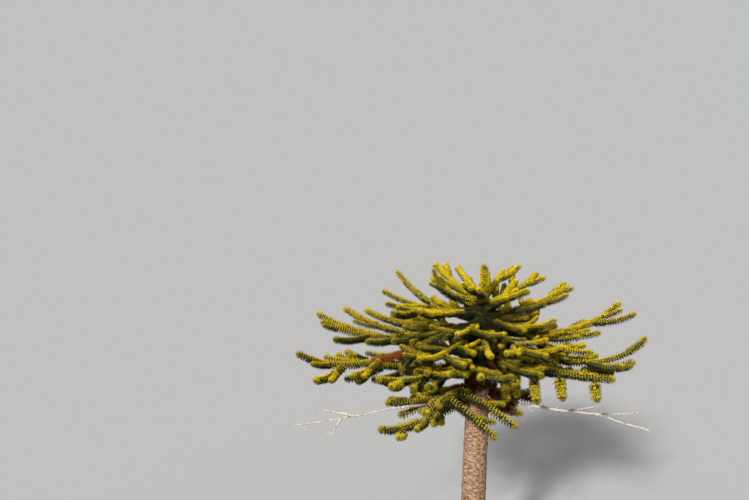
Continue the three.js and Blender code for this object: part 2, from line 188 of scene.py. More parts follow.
def trunk_radius(height):
    """The radius of the plain taper, which closes just above the trunk's tip."""
    return TRUNK_RADIUS * (1 - (height / TAPER_CLOSES_AT) ** TAPER_POWER)


def placed_ring(centre, direction, side, radius):
    """The matrix that carries a circle of radius 1 about the origin to a ring round a limb."""
    across = direction.cross(side)
    turn = Matrix((side, across, direction)).transposed().to_4x4()
    return Matrix.Translation(centre) @ turn @ Matrix.Scale(radius, 4)


def sweep(bm, rings, sides):
    """Draws a closed tube through ring matrices: a capped circle that is extruded from ring to ring."""
    circle = bmesh.ops.create_circle(bm, cap_ends=True, segments=sides, radius=1, matrix=rings[0])
    verts = circle["verts"]
    edges = list(dict.fromkeys(edge for vert in verts for edge in vert.link_edges))
    made = list(verts)
    for last, following in zip(rings, rings[1:]):
        grown = bmesh.ops.extrude_edge_only(bm, edges=edges)["geom"]
        verts = [item for item in grown if isinstance(item, bmesh.types.BMVert)]
        ring_verts = set(verts)
        edges = [
            item for item in grown
            if isinstance(item, bmesh.types.BMEdge) and ring_verts.issuperset(item.verts)
        ]
        bmesh.ops.transform(bm, matrix=following @ last.inverted(), verts=verts)
        made += verts
    bmesh.ops.edgeloop_fill(bm, edges=edges)
    return made


def knot_relief(angle, height):
    """How far the knots of the shed whorls stand out at a place on the trunk."""
    relief = 0
    turn = math.tau / KNOTS_PER_WHORL
    for row, shed_height in enumerate(SHED_WHORLS):
        rise = height - shed_height
        if abs(rise) > KNOT_REACH * KNOT_RADIUS:
            continue
        offset = (angle - row * KNOT_TURN) % turn - turn / 2
        reach = math.hypot(offset * trunk_radius(height), rise * KNOT_FLATNESS) / KNOT_RADIUS
        swell = math.exp(-KNOT_FALL * reach * reach)
        dimple = KNOT_DIMPLE * math.exp(-DIMPLE_FALL * reach * reach)
        relief += KNOT_RELIEF * (swell - dimple)
    return relief


def trunk_relief(point):
    """How far the bark stands out from the plain taper: root flare, knots, ring scars and cracks."""
    height = point.z
    angle = math.atan2(point.y, point.x - trunk_centre(height))
    flare = FLARE_WIDTH * math.exp(-height / FLARE_HEIGHT)
    roots = flare * (1 + ROOT_RELIEF * math.cos(ROOT_COUNT * angle))
    wander = RING_RIDGE_WANDER * noise.noise(point / WANDER_SIZE)
    ridge = math.sin((height + wander) / RING_RIDGE_SPACING * math.tau)
    squashed = Vector((point.x / SCAR_WIDTH, point.y / SCAR_WIDTH, point.z / SCAR_HEIGHT))
    scar = noise.fractal(squashed, 1.0, 2.0, 2)
    crack = abs(noise.noise(point / CRACK_SIZE))
    fade = min(1, (TRUNK_HEIGHT - height) / SMOOTH_TOP_HEIGHT + SMOOTH_TOP_RELIEF)
    bark = RING_RIDGE_RELIEF * max(0, ridge) ** 2 + SCAR_RELIEF * scar - CRACK_RELIEF * crack
    return roots + fade * (bark + knot_relief(angle, height))


trunk = bmesh.new()
count = TRUNK_HEIGHT // TRUNK_RING_SPACING
heights = [TRUNK_HEIGHT * level / count for level in range(count + 1)]
trunk_rings = [
    placed_ring(Vector((trunk_centre(z), 0, z)), Vector((0, 0, 1)), Vector((1, 0, 0)), trunk_radius(z))
    for z in heights
]
for vert in sweep(trunk, trunk_rings, TRUNK_SIDES):
    outward = Vector((vert.co.x - trunk_centre(vert.co.z), vert.co.y, 0)).normalized()
    vert.co += outward * trunk_relief(vert.co)
bark = weathered("dry_bark", BARK_PALE, BARK_MID, BARK_DARK, BARK_ROUGHNESS, SCAR_WIDTH, BARK_GRAIN)
add_solid("trunk_with_bark", trunk, bark, ["trunk"])

# Plan of the crown: each year the tree grows one whorl of boughs, and each bough carries side shoots in
# two rows. Lengths are in millimetres, azimuths anticlockwise from +X, pitches above level, in degrees.
PASSING_GAP = 5
STEM_RADIUS = 13
HUB_LEVELS = 3
HUB_STAGGER = 36
HUB_SCATTER = 3
SUNK_INTO_TRUNK = 0.9
AXIS_STEPS = 40
SHOOT_STEPS = 12
SHORTEST_RUN = 6
SHOOT_LONGEST = 1.15
SHOOT_SHORTENING = 0.4
FIRST_SHOOT = 60
PLACE_SCATTER = 0.02
LENGTH_SCATTER = 0.1
ANGLE_SCATTER = 6
SLOPE_FOLLOWED = 0.5
LEADER_LENGTH = 380
LEADER_PITCH = (88, 88, 92)
LEADER_LEAFY = 44
WHORLS = [
    {
        "name": "top", "hub": 3075, "leafy": 36, "bare": 70, "lift": (12, 16, 26),
        "shoots": 2, "shoot": 290, "last": 0.8, "rise": (6, 12, 30), "fan": 40, "close": 18, "crowd": 1,
        "boughs": [
            {"azimuth": 123, "reach": 700, "lift": (16, 19, 28)},
            {"azimuth": 106, "reach": 560, "lift": (10, 13, 22), "shoots": 0},
            {"azimuth": 58, "reach": 510, "lift": (16, 18, 30)},
            {"azimuth": 162, "reach": 540, "lift": (2, 26, 86), "shoots": 1},
            {"azimuth": 18, "reach": 370, "shoots": 1},
            {"azimuth": 255, "reach": 310, "lift": (20, 26, 44), "shoots": 1},
            {"azimuth": 315, "reach": 300, "lift": (18, 24, 40), "shoots": 1},
        ],
    },
    {
        "name": "upper", "hub": 2940, "leafy": 38, "bare": 110, "lift": (4, 6, 26),
        "shoots": 4, "shoot": 400, "last": 0.8, "rise": (2, 10, 32), "fan": 48, "close": 20, "crowd": 1,
        "boughs": [
            {
                "azimuth": 163, "reach": 860, "lift": (6, 8, 30), "shoots": 3, "last": 0.6,
                "right": {"fan": 38, "shoot": 540, "rise": (18, 30, 52)},
            },
            {"azimuth": 196, "reach": 740},
            {
                "azimuth": 44, "reach": 840, "lift": (9, 12, 26), "rise": (2, 8, 24),
                "right": {"shoot": 220},
            },
            {"azimuth": 9, "reach": 780, "lift": (8, 16, 36), "shoot": 340},
            {"azimuth": -20, "reach": 900, "lift": (-12, -16, 14), "shoots": 3, "shoot": 300},
            {"azimuth": 102, "reach": 620, "lift": (8, 12, 28), "shoots": 3},
            {"azimuth": 240, "reach": 500, "lift": (0, 2, 24), "shoots": 2, "fan": 72, "close": 0},
            {"azimuth": 305, "reach": 470, "lift": (-2, 0, 16), "shoots": 2, "fan": 66, "close": 0},
        ],
    },
    {
        "name": "middle", "hub": 2840, "leafy": 42, "bare": 190, "lift": (-4, -4, 24),
        "shoots": 5, "shoot": 450, "last": 0.8, "rise": (-2, 6, 28), "fan": 44, "close": 22, "crowd": 1,
        "boughs": [
            {"azimuth": 126, "reach": 980, "lift": (-8, -8, 18), "shoot": 400},
            {
                "azimuth": 177, "reach": 1350, "bare": 150, "lift": (-11, -2, 30), "shoots": 6,
                "last": 0.7, "right": {"shoot": 780, "fan": 22, "close": 0, "rise": (6, 14, 30)},
                "left": {"shoot": 400, "rise": (-4, 2, 24)},
            },
            {"azimuth": 98, "reach": 950, "lift": (-8, -8, 18), "shoot": 400},
            {
                "azimuth": 197, "reach": 1600, "bare": 240, "lift": (-11, -11, 40), "shoots": 6,
                "right": {"shoot": 360}, "left": {"shoot": 400, "rise": (-10, -8, 24)},
            },
            {"azimuth": 56, "reach": 950, "lift": (-8, -8, 18), "shoot": 400},
            {
                "azimuth": 13, "reach": 1330, "lift": (-9, 3, 46),
                "left": {"shoot": 360, "rise": (-6, -2, 14)},
            },
            {
                "azimuth": 345, "hub": 2810, "reach": 1370, "lift": (-18, -2, 60),
                "right": {"shoot": 380}, "left": {"rise": (-10, -4, 24)},
            },
            {
                "azimuth": 300, "reach": 760, "lift": (-8, -6, 24), "shoots": 4, "shoot": 320,
                "fan": 70, "close": 0,
            },
            {
                "azimuth": 230, "reach": 860, "lift": (-4, -2, 26), "shoots": 4, "shoot": 320,
                "fan": 66, "close": 0,
            },
            {
                "azimuth": 268, "reach": 620, "lift": (-6, -4, 24), "shoots": 3, "shoot": 300,
                "fan": 78, "close": 0,
            },
        ],
    },
    {
        "name": "broad", "hub": 2520, "leafy": 45, "bare": 190, "lift": (-4, -8, 20),
        "shoots": 5, "shoot": 420, "last": 0.8, "rise": (-8, -8, 20), "fan": 50, "close": 24, "crowd": 1,
        "boughs": [
            {"azimuth": 213, "reach": 1000, "lift": (2, 2, 28), "shoot": 300, "rise": (2, 2, 26)},
            {"azimuth": 166, "reach": 1230, "lift": (-4, -4, 20)},
            {"azimuth": 120, "reach": 1150},
            {"azimuth": 78, "reach": 1120},
            {"azimuth": 36, "reach": 1180},
            {
                "azimuth": 350, "reach": 1220, "lift": (0, 3, 30), "shoot": 380,
                "right": {"shoot": 220, "rise": (10, 10, 28)},
            },
            {
                "azimuth": 327, "reach": 1060, "bare": 70, "lift": (2, 4, 8), "shoots": 10, "last": 0.9,
                "crowd": 1.9, "right": {"shoot": 270, "rise": (-44, -72, -40), "fan": 60, "leafy": 50},
                "left": {"shoot": 240},
            },
            {
                "azimuth": 233, "reach": 820, "lift": (4, 8, 38), "shoots": 4, "shoot": 290,
                "rise": (8, 14, 50), "fan": 66, "close": 0,
            },
            {
                "azimuth": 262, "hub": 2600, "reach": 700, "lift": (4, 8, 40), "shoots": 4,
                "shoot": 300, "rise": (-4, 4, 40), "fan": 76, "close": 0,
            },
            {
                "azimuth": 300, "hub": 2610, "reach": 700, "lift": (2, 4, 24), "shoots": 4,
                "shoot": 280, "rise": (-4, 2, 36), "fan": 70, "close": 0,
            },
        ],
    },
    {
        "name": "low", "hub": 2220, "leafy": 50, "bare": 150, "lift": (-14, -20, 16),
        "shoots": 3, "shoot": 300, "last": 0.8, "rise": (-16, -16, 10), "fan": 44, "close": 20, "crowd": 1,
        "boughs": [
            {"azimuth": 201, "reach": 880, "lift": (-14, -16, 26), "left": {"shoot": 160}},
            {"azimuth": 171, "reach": 740, "lift": (-8, -8, -2)},
            {"azimuth": 330, "reach": 330, "lift": (-4, -8, 6), "shoots": 0},
            {"azimuth": 135, "reach": 700},
            {
                "azimuth": 229, "hub": 2245, "reach": 560, "lift": (26, 6, -20), "shoots": 4, "shoot": 230,
                "last": 0.98, "left": {"shoot": 570, "fan": 98, "close": -10, "rise": (-8, -28, -26)},
            },
            {"azimuth": 55, "reach": 660},
            {"azimuth": 20, "reach": 460, "lift": (0, -4, 20), "shoots": 2, "shoot": 200},
        ],
    },
]
DEAD_LIMBS = [
    {
        "name": "dead_bough_left", "hub": 2145, "azimuth": 188, "reach": 1500, "lift": (10, -7, -2),
        "radius": 15, "tip": 5,
        "forks": [
            {"at": 0.66, "fan": -26, "length": 300, "pitch": (4, 2, -8)},
            {"at": 0.74, "fan": 40, "length": 160, "pitch": (-30, -50, -30)},
        ],
    },
    {
        "name": "dead_bough_right", "hub": 2145, "azimuth": 350, "reach": 1240, "lift": (10, -4, 16),
        "radius": 14, "tip": 5,
        "forks": [
            {"at": 0.54, "fan": 22, "length": 300, "pitch": (4, 2, 0)},
            {"at": 0.72, "fan": -12, "length": 440, "pitch": (-6, -10, -4)},
        ],
    },
]
FORK_SHARE = 0.65
DRAW_FACTOR = 48271
DRAW_PRIME = 2147483647
SEED_FACTOR = 7919
SEED_OFFSET = 17
WARM_UP_DRAWS = 3
SEEDS_PER_WHORL = 100


class Draw:
    """Seeded numbers between 0 and 1: each is the last one times a factor, modulo a prime."""

    def __init__(self, seed):
        self.state = seed * SEED_FACTOR + SEED_OFFSET
        for _ in range(WARM_UP_DRAWS):
            self.next()

    def next(self):
        self.state = self.state * DRAW_FACTOR % DRAW_PRIME
        return self.state / DRAW_PRIME

    def around(self, spread):
        return (self.next() * 2 - 1) * spread


def through(values, s):
    """The value at share s of a curve through three values at its start, middle and end."""
    start, middle, end = values
    return start * (1 - s) * (1 - 2 * s) + middle * 4 * s * (1 - s) + end * s * (2 * s - 1)


def run_points(start, azimuth, pitches, length, bend, steps):
    """Points of a run that starts at an azimuth, turns by bend on its way, and follows three pitches."""
    s = (np.arange(steps) + 0.5) / steps
    pitch = np.radians(through(pitches, s))
    heading = np.radians(azimuth + bend * s)
    step = np.stack([np.cos(pitch) * np.cos(heading), np.cos(pitch) * np.sin(heading), np.sin(pitch)], 1)
    return np.vstack([start, start + np.cumsum(step, 0) * (length / steps)])


class Run:
    """A line of evenly stepped points, measured along its length."""

    def __init__(self, points):
        self.points = np.asarray(points, float)
        self.step = float(np.linalg.norm(self.points[1] - self.points[0]))
        self.length = self.step * (len(self.points) - 1)

    @staticmethod
    def between(values, step, distances):
        marks = np.arange(len(values)) * step
        return np.stack([np.interp(distances, marks, values[:, i]) for i in range(3)], -1)

    def at(self, distances):
        return Run.between(self.points, self.step, distances)

    def direction(self, distances):
        ahead = self.at(np.minimum(np.add(distances, self.step / 2), self.length))
        behind = self.at(np.maximum(np.subtract(distances, self.step / 2), 0))
        along = ahead - behind
        return along / np.linalg.norm(along, axis=-1, keepdims=True)


placed = []  # what each owner holds so far: its name, its points and their radii


def clear_points(owner, points, radii):
    """How many points of a run stay clear of all that other pieces hold."""
    others = [(p, r) for name, p, r in placed if name != owner]
    spots = np.vstack([p for p, _ in others])
    reach = np.concatenate([r for _, r in others])
    for i, point in enumerate(points):
        if (np.linalg.norm(spots - point, axis=1) < reach + radii[i] + PASSING_GAP).any():
            return i
    return len(points)


def on_trunk(hub, azimuth, radius, height):
    """A point at a height, at a radius and azimuth round the trunk's centre at its hub."""
    turn = math.radians(azimuth)
    centre = trunk_centre(min(hub, TRUNK_HEIGHT))
    return np.array([centre + radius * math.cos(turn), radius * math.sin(turn), height])


def plan_boughs():
    """The leafy axis of each bough of each whorl."""
    planned = []
    for row, whorl in enumerate(WHORLS):
        for index, own in enumerate(whorl["boughs"]):
            bough = {**whorl, **own, "index": index}
            draw = Draw(SEEDS_PER_WHORL * (row + 1) + index)
            rank = sum(each["azimuth"] < own["azimuth"] for each in whorl["boughs"])
            height = bough["hub"] + (rank % HUB_LEVELS - 1) * HUB_STAGGER + draw.around(HUB_SCATTER)
            radius = trunk_radius(height) * SUNK_INTO_TRUNK if row else 0
            start = on_trunk(bough["hub"], bough["azimuth"], radius, height)
            points = run_points(start, bough["azimuth"], bough["lift"], bough["reach"], 0, AXIS_STEPS)
            owner = f"{whorl['name']}_{index + 1}" if row else whorl["name"]
            walked = np.arange(AXIS_STEPS + 1) / AXIS_STEPS * bough["reach"]
            radii = np.where(walked < bough["bare"], STEM_RADIUS, bough["leafy"])
            placed.append((owner, points, radii))
            planned.append({**bough, "owner": owner, "draw": draw, "axis": Run(points), "side_shoots": []})
    return planned


def plan_side_shoots(bough):
    """The side shoots of a bough, left and right by turns, each cut short where it meets another piece."""
    axis = bough["axis"]
    reach = bough["reach"]
    first = (bough["bare"] + FIRST_SHOOT) / reach
    draw = bough["draw"]
    for k in range(bough["shoots"]):
        side = 1 if (k + bough["index"]) % 2 == 0 else -1
        own = {**bough, **bough.get("left" if side > 0 else "right", {})}
        spread = (bough["last"] - first) * ((k + 0.5) / bough["shoots"]) ** bough["crowd"]
        s = first + spread + draw.around(PLACE_SCATTER)
        index = math.floor(s * AXIS_STEPS)
        start = axis.at(s * reach)
        along = axis.points[index + 1] - axis.points[index]
        heading = math.degrees(math.atan2(along[1], along[0]))
        slope = math.degrees(math.atan2(along[2], math.hypot(along[0], along[1])))
        shortening = SHOOT_LONGEST - SHOOT_SHORTENING * s
        length = own["shoot"] * shortening * (1 + draw.around(LENGTH_SCATTER))
        fan = own["fan"] + draw.around(ANGLE_SCATTER)
        tilt = draw.around(ANGLE_SCATTER) + SLOPE_FOLLOWED * slope
        rise = [pitch + tilt for pitch in own["rise"]]
        points = run_points(start, heading + side * fan, rise, length, -side * own["close"], SHOOT_STEPS)
        walked = np.arange(SHOOT_STEPS + 1) / SHOOT_STEPS * length
        radii = np.where(walked < own["leafy"], STEM_RADIUS, own["leafy"])
        kept = clear_points(bough["owner"], points, radii)
        if kept < SHORTEST_RUN:
            continue
        placed.append((bough["owner"], points[:kept], radii[:kept]))
        bough["side_shoots"].append((Run(points[:kept]), own["leafy"]))


def plan_dead_limb(dead):
    """The bare limb of a dead bough with its forks, as runs with their radii."""
    radius = trunk_radius(dead["hub"]) * SUNK_INTO_TRUNK
    start = on_trunk(dead["hub"], dead["azimuth"], radius, dead["hub"])
    axis = Run(run_points(start, dead["azimuth"], dead["lift"], dead["reach"], 0, AXIS_STEPS))
    limbs = [(axis, dead["radius"])]
    for fork in dead["forks"]:
        begin = axis.at(fork["at"] * dead["reach"])
        heading = dead["azimuth"] + fork["fan"]
        points = run_points(begin, heading, fork["pitch"], fork["length"], 0, SHOOT_STEPS)
        limbs.append((Run(points), dead["radius"] * FORK_SHARE))
    for run, size in limbs:
        placed.append((dead["name"], run.points, np.full(len(run.points), size)))
    return limbs


dead_limbs = {dead["name"]: plan_dead_limb(dead) for dead in DEAD_LIMBS}
boughs = plan_boughs()
leader_foot = np.array([trunk_centre(TRUNK_HEIGHT), 0, TRUNK_HEIGHT])
leader = Run(run_points(leader_foot, 0, LEADER_PITCH, LEADER_LENGTH, 0, SHOOT_STEPS))
placed.append(("top", leader.points, np.full(len(leader.points), LEADER_LEAFY)))
levels = TRUNK_HEIGHT * np.arange(AXIS_STEPS + 1) / AXIS_STEPS
placed.append((
    "trunk", np.stack([trunk_centre(levels), 0 * levels, levels], 1), trunk_radius(levels),
))
for bough in boughs:
    plan_side_shoots(bough)

# Boughs: slim living limbs, brown where their oldest leaves are gone. Each swells into the trunk at a
# collar and is ringed by leaf scars, and it runs on inside the leaves as their stem.
COLLAR_SHARE = 0.5
COLLAR_LENGTH = 34
BOUGH_RADIUS = 17
BOUGH_SIDES = 14
BOUGH_RING_SPACING = 7
BOUGH_SCAR_SIZE = 11
BOUGH_RELIEF = 2.2
BOUGH_ROUGHNESS = 0.9
BOUGH_GRAIN = 3
PAST_BARE = 40
UPRIGHT_SIDE = 0.05
# The bough bark is its own brown darkened as painted shade, far darker than the trunk's, for the inside of
# the crown where the boughs run.
BOUGH_PALE = 0x4B3F26
BOUGH_MID = 0x3A321A
BOUGH_DARK = 0x221C0F


def limb_rings(run, distances, radii):
    """Ring matrices along a run, each turned as little as possible from the last."""
    centres = run.at(distances)
    directions = run.direction(distances)
    side = Vector((0, 0, 1)).cross(Vector(directions[0]))
    if side.length < UPRIGHT_SIDE:
        side = Vector((1, 0, 0))
    rings = []
    for centre, direction, radius in zip(centres, directions, radii):
        ahead = Vector(direction)
        side = (side - ahead * side.dot(ahead)).normalized()
        rings.append(placed_ring(Vector(centre), ahead, side, radius))
    return rings


def roughen(bm, verts, size, relief):
    """Moves points of a limb out and in along their normals, as its bark does."""
    bm.normal_update()
    for vert in verts:
        vert.co += vert.normal * relief * noise.fractal(vert.co / size, 1.0, 2.0, 3)


limbs = bmesh.new()
for bough in boughs:
    end = bough["bare"] + PAST_BARE
    distances = np.linspace(0, end, round(end / BOUGH_RING_SPACING))
    taper = BOUGH_RADIUS + (STEM_RADIUS - BOUGH_RADIUS) * distances / end
    if bough["name"] == "top":
        taper = np.full(len(distances), float(STEM_RADIUS))
    collar = 1 + COLLAR_SHARE * np.exp(-distances / COLLAR_LENGTH)
    made = sweep(limbs, limb_rings(bough["axis"], distances, taper * collar), BOUGH_SIDES)
    roughen(limbs, made, BOUGH_SCAR_SIZE, BOUGH_RELIEF)
shade_darkened_bough_bark = weathered(
    "scarred_bark_in_painted_shade", BOUGH_PALE, BOUGH_MID, BOUGH_DARK, BOUGH_ROUGHNESS, BOUGH_SCAR_SIZE, BOUGH_GRAIN,
)
bare_nodes = [f"bough_{bough['owner']}" for bough in boughs if bough["name"] in ("middle", "broad")]
add_solid("boughs_with_bark", limbs, shade_darkened_bough_bark, bare_nodes)

# Dead limbs: boughs that died in the shade and lost bark and leaves. Sun and rain bleached the wood
# silver, roughened it and left stubs, forked ends and, on the trunk, thin twigs. Each of these twigs has
# its height, azimuth, length and pitch.
DEAD_SIDES = 12
DEAD_RING_SPACING = 12
DEAD_LEAST_RINGS = 4
DEAD_RELIEF = 1.6
DEAD_RELIEF_SIZE = 18
FULL_RELIEF_RADIUS = 10
DEAD_KINK = 7
KINK_SIZE = 140
KINK_SEED = 1
STUBS_PER_METRE = 9
STUBS_FROM = 0.25
STUBS_OVER = 0.72
STUB_LENGTH = 70
STUB_SHORTEST = 0.5
STUB_SHARE = 0.35
STUB_TIP = 1.2
STUB_FAN = 80
STUB_PITCH = 50
STUB_RISE = 20
STUB_STEPS = 6
TWIG_RADIUS = 5
TWIG_TIP = 1.5
TWIG_SAG = 10
TWIG_RISE = 15
TWIG_STEPS = 8
DEAD_TWIGS = [
    (2330, 262, 90, 35), (2345, 281, 100, 50), (2250, 330, 170, -35),
    (2225, 318, 150, -55), (2200, 345, 140, -30), (2180, 205, 120, -20),
    (1985, 20, 70, 10), (1890, 250, 45, 20), (1850, 160, 60, 15),
]
DEAD_ROUGHNESS = 0.85
DEAD_SCAR_SIZE = 16
DEAD_GRAIN = 2.5
DEAD_PALE = 0xCFC4B6
DEAD_MID = 0xB2A798
DEAD_DARK = 0x665B4F


def dead_run(bm, run, radius, tip):
    """Draws a tapering dead limb along a run, rougher where it is thick."""
    count = max(DEAD_LEAST_RINGS, round(run.length / DEAD_RING_SPACING))
    distances = np.linspace(0, run.length, count)
    radii = radius + (tip - radius) * distances / run.length
    made = sweep(bm, limb_rings(run, distances, radii), DEAD_SIDES)
    roughen(bm, made, DEAD_RELIEF_SIZE, DEAD_RELIEF * min(1, radius / FULL_RELIEF_RADIUS))
    return made


dead_wood = weathered(
    "bleached_wood", DEAD_PALE, DEAD_MID, DEAD_DARK, DEAD_ROUGHNESS, DEAD_SCAR_SIZE, DEAD_GRAIN,
)
twigs = bmesh.new()
for height, azimuth, length, pitch in DEAD_TWIGS:
    foot = on_trunk(height, azimuth, SUNK_INTO_TRUNK * trunk_radius(height), height)
    pitches = (pitch, pitch - TWIG_SAG, pitch + TWIG_RISE)
    twig = Run(run_points(foot, azimuth, pitches, length, 0, TWIG_STEPS))
    dead_run(twigs, twig, TWIG_RADIUS, TWIG_TIP)
add_solid("dead_twigs_bleached", twigs, dead_wood, [])
noise.seed_set(KINK_SEED)
for dead in DEAD_LIMBS:
    bleached = bmesh.new()
    draw = Draw(len(dead["name"]))
    made = []
    for run, radius in dead_limbs[dead["name"]]:
        made += dead_run(bleached, run, radius, dead["tip"])
        for _ in range(round(run.length * MM * STUBS_PER_METRE)):
            at = (STUBS_FROM + STUBS_OVER * draw.next()) * run.length
            along = run.direction(at)
            heading = math.degrees(math.atan2(along[1], along[0])) + draw.around(STUB_FAN)
            pitch = draw.around(STUB_PITCH)
            length = STUB_LENGTH * (STUB_SHORTEST + draw.next())
            pitches = (pitch, pitch, pitch + STUB_RISE)
            stub = Run(run_points(run.at(at), heading, pitches, length, 0, STUB_STEPS))
            made += dead_run(bleached, stub, STUB_SHARE * radius, STUB_TIP)
    for vert in made:
        bend = noise.noise_vector(vert.co / KINK_SIZE)
        off_trunk = min(1, max(0, math.hypot(vert.co.x, vert.co.y) / TRUNK_RADIUS - 1))
        vert.co += bend * DEAD_KINK * off_trunk
    add_solid(dead["name"] + "_bleached", bleached, dead_wood, [dead["name"]])

# Stems: the green wood inside the leafy shoots, clothed in the corky bases of their leaves. Finer ones
# grow between the side shoots of the plan, within its reach. Each forked tip has its share of the way
# along its bough, its side and its length.
SLEEVE_SHARE = 0.38
SLEEVE_TIP_SHARE = 0.3
STEM_SIDES = 9
STEM_RING_SPACING = 40
STEM_LEAST_RINGS = 3
STEM_ENDS_SHORT = 0.7
FINE_SHOOTS_PER_METRE = {"top": 0.8, "upper": 0.9, "middle": 1.1, "broad": 1.9, "low": 2.0}
FINE_FROM = 0.12
FINE_TO = 0.5
FINE_LENGTH = 220
FINE_SHORTEST = 0.7
FINE_LENGTH_RANGE = 0.6
FINE_WITHIN = 0.9
FINE_LEAFY = 0.78
FINE_FAN = 42
FINE_FAN_VARIES = 12
OFF_SLOPE_FOLLOWED = 0.6
OFF_RISE = (0, 8, 26)
OFF_CLOSE = 20
HANGS = -0.6
LEADER_BARE = 20
SHOOT_BARE_SHARE = 0.4
TIP_FAN = 30
TIP_SHOOTS = {
    "middle_4": ((0.8, 1, 210), (0.86, -1, 190)),
    "middle_6": ((0.84, -1, 190),),
    "middle_7": ((0.84, 1, 180),),
    "middle_2": ((0.86, 1, 170),),
    "broad_6": ((0.84, -1, 170),),
    "upper_4": ((0.84, -1, 150),),
}
SLIM_BOUGHS = (
    "upper_7", "upper_8", "middle_8", "middle_9", "middle_10", "broad_8", "broad_9", "broad_10",
)
SLIM_SHARE = 0.8
SLIM_FULLNESS = 2.4
# Side shoots, by their place in their bough's list, whose leaves are painted into shade as if other shoots
# stood over them.
DIM_SHOOTS = {
    "upper_2": (1,), "upper_4": (0,), "middle_2": (1, 3, 5), "middle_4": (0,),
    "broad_1": (0, 2), "broad_2": (2, 4),
}
# The stem colours are the green wood's own darkened as painted shade, which shows in the gaps between the
# turns of leaves.
STEM_GREEN = 0x33370F
STEM_BROWN = 0x241D0F
STEM_ROUGHNESS = 0.7
STEM_SCAR_SIZE = 12
STEM_GRAIN = 3


def off_run(run, at, side, fan, length):
    """A short shoot that leaves a run at a distance, turned off by fan to one side, and rises."""
    along = run.direction(at)
    heading = math.degrees(math.atan2(along[1], along[0])) + side * fan
    slope = OFF_SLOPE_FOLLOWED * math.degrees(math.asin(along[2]))
    pitches = [slope + rise for rise in OFF_RISE]
    return Run(run_points(run.at(at), heading, pitches, length, -side * OFF_CLOSE, SHOOT_STEPS))


def fine_shoots(run, leafy, per_metre, draw):
    """Short shoots off a run, left and right by turns, each with its leafy radius."""
    found = []
    for k in range(round(run.length * MM * per_metre + draw.next() - 0.5)):
        at = (FINE_FROM + (FINE_TO - FINE_FROM) * draw.next()) * run.length
        fan = FINE_FAN + draw.around(FINE_FAN_VARIES)
        wanted = FINE_LENGTH * (FINE_SHORTEST + FINE_LENGTH_RANGE * draw.next())
        length = min(wanted, FINE_WITHIN * (run.length - at))
        found.append((off_run(run, at, 1 if k % 2 == 0 else -1, fan, length), leafy * FINE_LEAFY))
    return found


shoots = []
fine_draw = Draw(1)


def add_shoot(bough, run, leafy, bare, dim):
    """Notes a leafy shoot, slimmer on the short boughs of the south side."""
    leafy *= SLIM_SHARE if bough["owner"] in SLIM_BOUGHS else 1
    shoots.append({"bough": bough, "run": run, "leafy": leafy, "bare": bare, "dim": dim})


for bough in boughs:
    per_metre = FINE_SHOOTS_PER_METRE[bough["name"]]
    per_metre *= SLIM_FULLNESS if bough["owner"] in SLIM_BOUGHS else 1
    add_shoot(bough, bough["axis"], bough["leafy"], bough["bare"], False)
    for share, side, length in TIP_SHOOTS.get(bough["owner"], ()):
        tip = off_run(bough["axis"], share * bough["axis"].length, side, TIP_FAN, length)
        add_shoot(bough, tip, FINE_LEAFY * bough["leafy"], SHOOT_BARE_SHARE * bough["leafy"], False)
    for run, leafy in fine_shoots(bough["axis"], bough["leafy"], per_metre, fine_draw):
        add_shoot(bough, run, leafy, SHOOT_BARE_SHARE * leafy, False)
    for index, (run, leafy) in enumerate(bough["side_shoots"]):
        dim = index in DIM_SHOOTS.get(bough["owner"], ())
        add_shoot(bough, run, leafy, SHOOT_BARE_SHARE * leafy, dim)
        if run.direction(run.length / 2)[2] > HANGS:
            for finer, finer_leafy in fine_shoots(run, leafy, per_metre, fine_draw):
                add_shoot(bough, finer, finer_leafy, SHOOT_BARE_SHARE * finer_leafy, dim)
add_shoot(boughs[0], leader, LEADER_LEAFY, LEADER_BARE, False)

stems = bmesh.new()
for shoot in shoots:
    run = shoot["run"]
    start = shoot["bare"] if run is shoot["bough"]["axis"] else 0
    end = run.length - STEM_ENDS_SHORT * shoot["leafy"]
    count = max(STEM_LEAST_RINGS, round((end - start) / STEM_RING_SPACING))
    distances = np.linspace(start, end, count)
    share = SLEEVE_SHARE + (SLEEVE_TIP_SHARE - SLEEVE_SHARE) * distances / run.length
    sweep(stems, limb_rings(run, distances, share * shoot["leafy"]), STEM_SIDES)
stem_skin = weathered(
    "green_stem_in_painted_shade", STEM_GREEN, STEM_GREEN, STEM_BROWN, STEM_ROUGHNESS, STEM_SCAR_SIZE, STEM_GRAIN,
)
add_solid("stems", stems, stem_skin, [])

# Leaves: stiff, leathery blades, keeled below and drawn to a sharp point. They stand round each shoot in
# close turns of a spiral, slant forwards and close to a bud. Their yellow and green tints are painted light
# and shade: leaves that face up, grow on the newer outer half of a shoot or stand under open sky take the
# bright tints, and those that face down, lie under other shoots or in the heart of a bud the dark ones.
# Old ones on some boughs and on the trunk wither to red-brown.
LEAVES_PER_TURN = 15.4
TURN_JITTER = 0.14
TURN_SPACING_SHARE = 0.5
STEEP_SPACING_SHARE = 0.48
LEAF_WIDTH_SHARE = 0.44
LEAF_THICKNESS_SHARE = 0.14
SEAT_SHARE = 0.3
PROUD_SHARE = 1.12
TIP_SHARE = 0.86
WIDEST_AT = 0.4
UPPER_SHARE = 0.25
SPREAD_ANGLE = 58
STEEP_SPREAD_ANGLE = 42
YEAR_LENGTH = 170
YEAR_SWELL = 0.05
LENGTH_VARIES = 0.08
ANGLE_VARIES = 5
BUD_LEAVES = 46
BUD_SHARE = 0.94
BUD_LONGEST = 0.95
BUD_SHORTENING = 0.3
BUD_SEAT_SHARE = 0.6
BUD_REACH = 1.35
# Painted light on a bud's leaves, and the share of them past which its heart is painted into shade.
BUD_BONUS = 0.25
BUD_HEART = 0.8
GOLDEN_ANGLE = math.radians(137.508)
